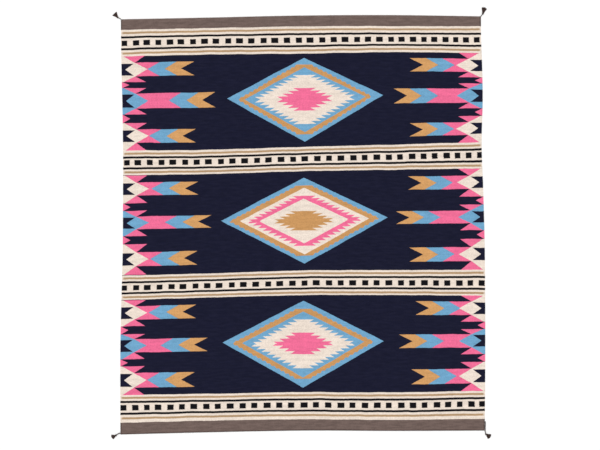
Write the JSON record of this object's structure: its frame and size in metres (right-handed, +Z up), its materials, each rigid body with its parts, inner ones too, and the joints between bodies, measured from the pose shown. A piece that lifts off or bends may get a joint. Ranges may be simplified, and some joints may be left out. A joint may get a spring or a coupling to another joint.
{
  "type": "southwest style rug",
  "caption": "Flat rectangular flatwoven wool rug in a southwest style pattern of stepped diamonds and banded stripes, with a small yarn tassel at each corner.",
  "frame": {"origin": "middle of the rug's footprint, tassels included, on the floor that the underside rests on", "axes": "+Z up from the floor through the patterned face, +Y along the warp towards the far end, +X across to the right"},
  "size_m": [2.5142, 2.8596, 0.0098],
  "materials": {
    "woven_wool": "matt handwoven wool, weft faced",
    "tassel_yarn": "matt dark brown wool yarn"
  },
  "bodies": {
    "root": {"rug_cloth": "woven_wool", "tassel_far_left": "tassel_yarn", "tassel_far_right": "tassel_yarn", "tassel_near_left": "tassel_yarn", "tassel_near_right": "tassel_yarn"}
  },
  "joints": []
}
